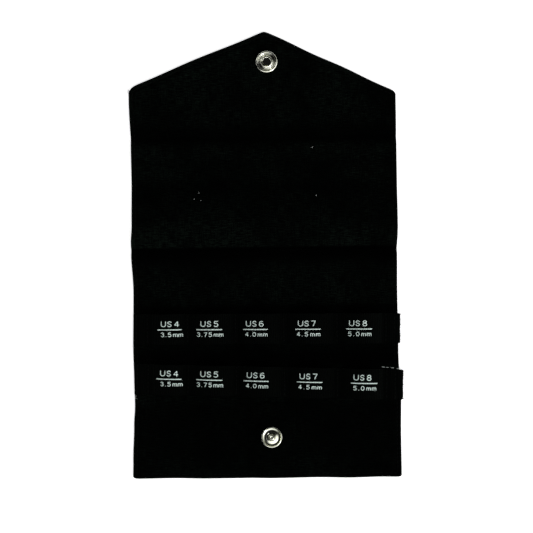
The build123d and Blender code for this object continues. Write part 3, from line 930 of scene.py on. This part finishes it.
def resample(line, spacing):
    """Points along a line, at the distances that spacing gives for its length."""
    line = np.array(line, float)
    steps = np.concatenate([[0], np.cumsum(np.linalg.norm(np.diff(line, axis=0), axis=1))])
    t = spacing(steps[-1])
    return np.stack([np.interp(t, steps, line[:, 0]), np.interp(t, steps, line[:, 1])], -1)


def ribbon(tape, line, stroke, rng):
    """Points and faces of a raised stroke on a tape, with round ends and uneven sides."""
    path = resample(line, lambda length: np.linspace(0, length, max(4, int(length / 0.22) + 1)))
    path += rng.normal(0, 0.018, path.shape)
    along = np.gradient(path, axis=0)
    along /= np.maximum(np.linalg.norm(along, axis=1), 1e-6)[:, None]
    half = stroke / 2 * (1 + rng.normal(0, 0.05, len(path)))
    first, last = path[0] - along[0] * stroke * 0.3, path[-1] + along[-1] * stroke * 0.3
    path = np.concatenate([[first], path, [last]])
    along = np.concatenate([along[:1], along, along[-1:]])
    half = np.concatenate([[stroke * 0.24], half, [stroke * 0.24]])
    side = np.stack([-along[:, 1], along[:, 0]], -1)
    across = np.array([1, 0.7, 0, -0.7, -1])
    height = np.array([0.0, 0.07, 0.1, 0.07, 0.0])
    flat = path[:, None] + side[:, None] * (half[:, None] * across)[..., None]
    base = TAPE_THICKNESS / 2 + 0.045
    s, w = flat[..., 0], flat[..., 1]
    return shell(tape_point(tape, s, w, base + height), tape_point(tape, s, w, base - 0.06))


def make_marks(tape):
    """A tape's size marks: over each loop a name, a rule and a gauge."""
    rng = np.random.default_rng(tape["seed"] + 20)
    parts = []
    shift = RULE_OFFSET[tape["name"]]
    for label, (middle, width, name_aside) in zip(LABELS, RULES[tape["name"]]):
        name, gauge, gauge_aside, spread = label
        reach = width / 2 - 0.3
        lines = [([(middle - reach, shift), (middle + reach, shift)], RULE_THICKNESS)]
        foot = shift + RULE_THICKNESS / 2 + NAME_RISE
        lines += text_strokes(
            name, middle + name_aside, foot, NAME_STROKE, NAME_HEIGHT, NAME_SIZES, NAME_DIGIT, name_gap
        )
        foot = shift - RULE_THICKNESS / 2 - GAUGE_DROP - GAUGE_HEIGHT
        lines += text_strokes(
            gauge, middle + gauge_aside, foot, GAUGE_STROKE, GAUGE_HEIGHT, GAUGE_SIZES, GAUGE_DIGIT,
            gauge_gap, spread,
        )
        parts += [ribbon(tape, line, stroke, rng) for line, stroke in lines]
    points, faces = join(parts)
    return add_mesh(tape["name"] + "_size_marks", points, faces, marks, points[:, :2], 70)


upper_marks = make_marks(UPPER)
lower_marks = make_marks(LOWER)

# ---- Stitching -----------------------------------------------
STITCH_INSET = 2.4
STITCH_PITCH = 2.7
STITCH_RADIUS = 0.2
TACK_RADIUS = 0.21
STITCH_TAPER = np.array([0.35, 0.85, 1, 1, 1, 0.85, 0.35])
STITCH_SHARE = np.linspace(0, 1, len(STITCH_TAPER))
STITCH_BOW = np.sin(np.pi * STITCH_SHARE) ** 0.5 * 0.26


def seam_path():
    """Closed path of the top stitching, inside the case's edge."""
    inset = STITCH_INSET
    y = np.linspace(-134.0, 93.0, 160)
    left = np.stack([left_edge(y) + inset, y], -1)
    y = np.linspace(90.5, -134.0, 160)
    right = np.stack([right_edge(y) - inset, y], -1)
    x = np.linspace(left_edge(96.0) + inset + 0.3, right_edge(92.0) - inset - 0.3, 130)
    top = np.stack([x, top_edge(x) - inset / SLOPE_COSINE], -1)
    x = np.linspace(right_edge(-130.0) - inset - 0.4, left_edge(-130.0) + inset + 0.4, 130)
    front = np.stack([x, front_edge(x) + inset], -1)
    return np.concatenate([left, top, right, front, left[:1]])


def stitch(start, end, level, side):
    """One stitch between two holes on a surface given by level(x, y)."""
    flat = start + (end - start) * STITCH_SHARE[:, None]
    z = level(flat[:, 0], flat[:, 1]) + side * (STITCH_BOW - 0.16)
    return tube(np.column_stack([flat, z]), STITCH_RADIUS * STITCH_TAPER)


def under_tape(x, y):
    """Whether a place is covered by a tape."""
    return any(abs(along_tape(tape, x, y)[1]) < TAPE_HALF + 0.6 for tape in (UPPER, LOWER))


def make_seams():
    """Top stitching on the lining and its return on the cover, in three pieces by panel."""
    rng = np.random.default_rng(5)
    parts = {panel: [] for panel in PANELS}
    step = 20
    path = resample(seam_path(), lambda length: np.arange(0, length, STITCH_PITCH / step))
    for level, side, offset in ((inner_face, 1.0, 0), (outer_face, -0.8, step // 2)):
        for k in range(offset, len(path) - step, step):
            start = path[k + 1] + rng.normal(0, 0.06, 2)
            end = path[k + step - 2] + rng.normal(0, 0.06, 2)
            middle = (start + end) / 2
            if side > 0 and under_tape(*middle):
                continue
            panel = "back" if middle[1] < 0 else "flap" if middle[1] < FLAP_SPLIT else "tip"
            parts[panel].append(stitch(start, end, level, side))
    pieces = {}
    for panel, tubes in parts.items():
        points, faces = join(tubes)
        pieces[panel] = add_mesh("edge_stitches_" + panel, points, faces, thread, soft_angle=80)
    return pieces


seams = make_seams()


def make_tacks(tape):
    """Rows of stitches across a tape, at each tack and at both sides of the case."""
    rng = np.random.default_rng(tape["seed"] + 40)
    tubes = []
    for s in (-80.2, *TACK_X, 74.3):
        lean = rng.normal(0, 0.012)
        length, reach = (2.55, 7.9) if s in TACK_X else (2.7, 8.6)
        w = -reach
        while w < reach - 0.5:
            end = min(w + length - 0.35, TAPE_HALF - 0.3)
            across = w + (end - w) * STITCH_SHARE
            along = s + lean * across + rng.normal(0, 0.05)
            path = tape_point(tape, along, across, STITCH_BOW - 0.14 + TAPE_THICKNESS / 2)
            tubes.append(tube(path, TACK_RADIUS * STITCH_TAPER))
            w += length
    points, faces = join(tubes)
    return add_mesh(tape["name"] + "_tape_stitches", points, faces, thread, soft_angle=80)


upper_tacks = make_tacks(UPPER)
lower_tacks = make_tacks(LOWER)


# ---- Frayed ends, painted glint dashes and lint --------------
def wisp(rng, start, heading, length, radius, curl=0.5, drop=0.0):
    """A fine loose fibre from a point, wandering as it goes."""
    count = 8
    step = length / count
    path = [np.array(start, float)]
    for _ in range(count):
        heading += rng.normal(0, curl)
        move = (np.cos(heading) * step, np.sin(heading) * step, rng.normal(0, 0.05) - drop)
        point = path[-1] + move
        point[2] = max(point[2], 0.15)
        path.append(point)
    return tube(path, radius * np.append(np.ones(count), 0.4), sides=5)


def tape_end(tape, w, inset):
    """A point on a tape near its cut end."""
    return tape_point(tape, tape["right"] - inset, w)


def tuft(rng, x, y, count, spread):
    """A few fibres standing out of the case's rubbed edge."""
    tubes = []
    for _ in range(count):
        place = np.array([x, y]) + rng.normal(0, spread * 0.35, 2)
        inside = max(place[0], left_edge(place[1]) + 0.6)
        z = inner_face(inside, place[1]) + 0.1
        tubes.append(wisp(rng, (*place, z), rng.uniform(0, 6.3), spread, 0.07, 0.8))
    return tubes


def make_frays():
    """Black fibres at the tapes' cut ends and at rubbed places on the case's edge, in two pieces."""
    rng = np.random.default_rng(11)
    tubes = []
    for tape in (UPPER, LOWER):
        for w in np.linspace(-8.7, 8.7, 30):
            heading, length = rng.normal(0, 0.35), rng.uniform(0.5, 1.25)
            tubes.append(wisp(rng, tape_end(tape, w, 0.5), heading, length, 0.09, 0.3, 0.02))
        for w in (8.3,) * 5 + (-8.3,) * 5:
            heading, length = rng.normal(0, 0.9), rng.uniform(1.0, 2.0)
            tubes.append(wisp(rng, tape_end(tape, w, 0.4), heading, length, 0.07, 0.6, 0.03))
    for spot in ((-81.6, -56.8, 9, 1.4), (-79.0, -86.0, 10, 1.5)):
        tubes += tuft(rng, *spot)
    points, faces = join(tubes)
    back = add_mesh("frayed_fibres", points, faces, thread, soft_angle=80)
    points, faces = join(tuft(rng, -83.0, 96.0, 7, 1.2))
    return back, add_mesh("frayed_shoulder", points, faces, thread, soft_angle=80)


def make_glint_dashes_and_fibres():
    """Pale dashes along the lower tape's upper edge, a painted highlight for the glints of light
    on that raised edge, and pale fibres at its lower left corner.
    """
    rng = np.random.default_rng(17)
    tubes = []
    # Painted highlight: four pale dashes where light glints along the lower tape's raised edge.
    for start, end in (((66.4, -70.9), (68.3, -71.1)), ((69.0, -71.2), (70.5, -71.4)),
                       ((71.6, -71.4), (73.6, -71.6)), ((75.2, -71.9), (77.0, -72.1))):
        t = np.linspace(0, 1, 6)[:, None]
        places = np.array(start) + (np.array(end) - np.array(start)) * t
        places += rng.normal(0, 0.05, places.shape)
        s, w = along_tape(LOWER, *places.T)
        z = tape_level(LOWER, s, np.minimum(w, TAPE_HALF - 0.1)) + 0.42
        tubes.append(tube(np.column_stack([places, z]), 0.19 * np.array([0.5, 1, 1, 1, 1, 0.5])))
    for _ in range(4):
        place = rng.normal((-81.7, -87.6), 0.15)
        heading, length = rng.normal(0.9, 0.25), rng.uniform(1.4, 2.4)
        tubes.append(wisp(rng, (*place, 2.0), heading, length, 0.09, 0.35))
    points, faces = join(tubes)
    return add_mesh("glint_dashes_and_fibres", points, faces, pale_glint_thread, soft_angle=80)


def make_lint(name, spots, seed):
    """Specks of pale lint caught on the lining."""
    rng = np.random.default_rng(seed)
    tubes = []
    for x, y, size in spots:
        for _ in range(3):
            place = np.array([x, y]) + rng.normal(0, size * 0.2, 2)
            z = inner_face(*place) + 0.12
            tubes.append(wisp(rng, (*place, z), rng.uniform(0, 6.3), size, 0.1, 0.9))
    points, faces = join(tubes)
    return add_mesh(name, points, faces, lint_thread, soft_angle=80)


frays, shoulder_frays = make_frays()
glint_dashes_and_fibres = make_glint_dashes_and_fibres()
flap_lint = make_lint(
    "lint_flap",
    ((-41.6, 35.0, 0.7), (-44.4, 30.9, 0.5), (-40.5, 30.2, 0.5), (28.5, 32.5, 0.6)),
    seed=23,
)
tip_lint = make_lint("lint_tip", ((26.5, 60.8, 0.7),), seed=29)

# ---- Metal ---------------------------------------------------
for node in ("snap_stud", "stud_eyelet", "snap_socket", "snap_cap"):
    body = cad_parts[node]
    body.data.materials.clear()
    body.data.materials.append(nickel)

# ---- Sheets and seams baked in place, other pieces on their bodies ---
LOWER_FOLD = ((0, (-SPINE_FOLD - 1.5) * MM, 0), (0, (-SPINE_FOLD + 3.2) * MM, 0))
UPPER_FOLD = ((0, (SPINE_FOLD - 3.2) * MM, 0), (0, (SPINE_FOLD + 1.5) * MM, 0))
TIP_BEND = ((0, (TIP_FOLD - 6) * MM, 0), (0, (TIP_FOLD + 6) * MM, 0))
for panel, bodies, ends in (
    ("back", ("back_panel", "spine"), LOWER_FOLD),
    ("flap", ("spine", "flap"), UPPER_FOLD),
    ("tip", ("flap", "flap_tip"), TIP_BEND),
):
    for piece in (sheets["lining_" + panel], sheets["cover_" + panel], seams[panel]):
        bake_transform(piece)
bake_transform(tip_lint)
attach(flap_lint, "flap")
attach(shoulder_frays, "flap_tip")
on_back = (patch, upper_tape, lower_tape, upper_marks, lower_marks, upper_tacks, lower_tacks)
for piece in (*on_back, frays, glint_dashes_and_fibres):
    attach(piece, "back_panel")

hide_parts("back_cover", "spine_cover")
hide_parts("flap_cover")
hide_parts("tip_cover")
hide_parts("back_lining", "spine_lining")
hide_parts("flap_lining")
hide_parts("tip_lining")
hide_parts("back_edge_stitching", "spine_edge_stitching")
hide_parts("flap_edge_stitching")
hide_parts("tip_edge_stitching")
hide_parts("snap_patch")
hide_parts("upper_loop_tape")
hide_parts("lower_loop_tape")
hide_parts("upper_tape_stitching")
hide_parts("lower_tape_stitching")

# ---- Floor, light --------------------------------------------
FLOOR_HALF = 6.0
FLOOR_LEVEL = -0.0003
floor_nodes = new_material("floor")
floor_place = floor_nodes.add("ShaderNodeTexCoord").outputs["Object"]
floor_tone = floor_nodes.noise(floor_place, 3.0)
# Painted shadow: the floor's even glow is dimmed by ambient occlusion close around and under the case.
floor_shadow_occlusion = floor_nodes.add("ShaderNodeAmbientOcclusion", {"Distance": 0.006}, samples=8)
floor_glow_with_shadow = floor_nodes.ramp(floor_shadow_occlusion.outputs["AO"], 0.0, 0.8, 0.1, 0.6)
floor_nodes.set(
    Base_Color=floor_nodes.mix(floor_tone, (0.84, 0.84, 0.84), (0.88, 0.88, 0.88)),
    Roughness=0.9,
    Specular_IOR_Level=0.1,
    Emission_Color=(1, 1, 1, 1),
    Emission_Strength=floor_glow_with_shadow,
)
floor_corners = [
    (x * FLOOR_HALF, y * FLOOR_HALF, FLOOR_LEVEL) for x, y in ((-1, -1), (1, -1), (1, 1), (-1, 1))
]
floor_mesh = bpy.data.meshes.new("floor")
floor_mesh.from_pydata(floor_corners, [], [(0, 1, 2, 3)])
floor_mesh.materials.append(floor_nodes.material)
floor = bpy.data.objects.new("floor", floor_mesh)
bpy.context.scene.collection.objects.link(floor)

# A dark sky that brightens towards the key light, and all round at the horizon.
SKY_TOWARDS = (0.55, -0.835, 0.0)
SKY_DARK = 0.008
SKY_BRIGHT = 1.35
HORIZON = 1.0
world = bpy.data.worlds.new("studio")
sky = Nodes(world)
sky_place = sky.add("ShaderNodeTexCoord").outputs["Generated"]
sky_height = sky.add("ShaderNodeSeparateXYZ", {0: sky_place}).outputs[2]
sky_side = sky.add("ShaderNodeVectorMath", {0: sky_place, 1: SKY_TOWARDS}, operation="DOT_PRODUCT")
sky_level = sky.ramp(sky_side.outputs["Value"], SKY_DARK, SKY_BRIGHT, 0.05, 0.6, "SMOOTHSTEP")
sky_rim = sky.ramp(sky_height, HORIZON, 0.0, 0.06, 0.36, "SMOOTHSTEP")
background = sky.tree.nodes["Background"]
sky.tree.links.new(sky.sum(sky_level, sky_rim), background.inputs["Strength"])
background.inputs["Color"].default_value = (1, 1, 1, 1)
bpy.context.scene.world = world


def add_softbox(name, place, width, depth, power):
    """A soft rectangular light facing the case."""
    light = bpy.data.lights.new(name, "AREA")
    light.shape = "RECTANGLE"
    light.size = width
    light.size_y = depth
    light.energy = power
    box = bpy.data.objects.new(name, light)
    box.location = place
    box.rotation_euler = (-Vector(place)).to_track_quat("-Z", "Y").to_euler()
    bpy.context.scene.collection.objects.link(box)


add_softbox("key", (0.56, -0.66, 0.66), 0.36, 0.3, 3.2)
add_softbox("rim", (-0.7, 0.45, 0.5), 0.3, 0.2, 0.5)

bpy.context.scene.view_settings.view_transform = "Standard"
